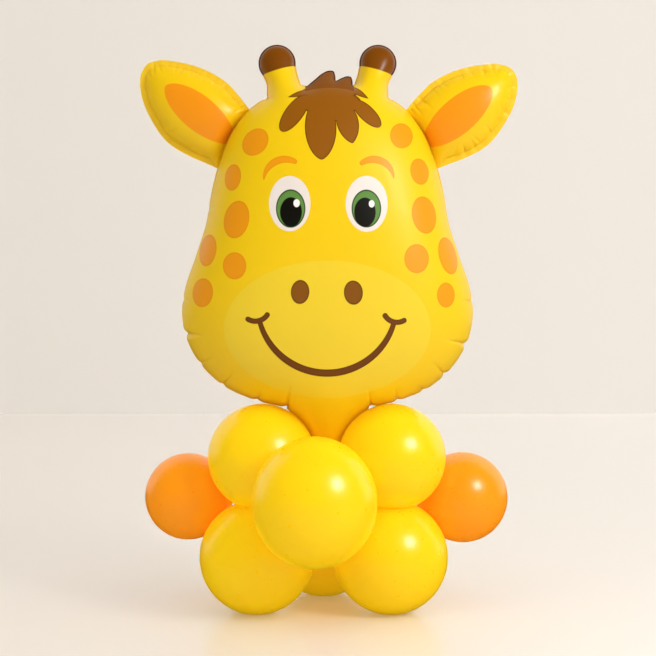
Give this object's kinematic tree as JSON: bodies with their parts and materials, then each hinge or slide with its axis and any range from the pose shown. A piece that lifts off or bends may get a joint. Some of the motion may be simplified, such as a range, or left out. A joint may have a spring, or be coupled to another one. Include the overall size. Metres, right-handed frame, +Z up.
{
  "type": "balloon giraffe",
  "caption": "Table-top balloon figure: a foil giraffe head with ears and horns, held on a base of round yellow and orange latex balloons.",
  "frame": {"origin": "middle of the whole object's footprint, on the surface that it stands on", "axes": "+Z up, the giraffe's face looks along -Y, +X to the viewer's right"},
  "size_m": [0.356, 0.2644, 0.5345],
  "materials": {
    "yellow_foil": "printed satin film",
    "yellow_latex": "smooth stretched latex",
    "orange_latex": "smooth stretched latex"
  },
  "bodies": {
    "root": {"foil_head": "yellow_foil", "ear_left": "yellow_foil", "ear_right": "yellow_foil", "balloon_lower_front_left": "yellow_latex", "balloon_lower_front_right": "yellow_latex", "balloon_lower_back": "yellow_latex", "balloon_upper_front_left": "yellow_latex", "balloon_upper_front_right": "yellow_latex", "balloon_upper_back": "yellow_latex", "balloon_belly": "yellow_latex", "balloon_side_left": "orange_latex", "balloon_side_right": "orange_latex"}
  },
  "joints": []
}
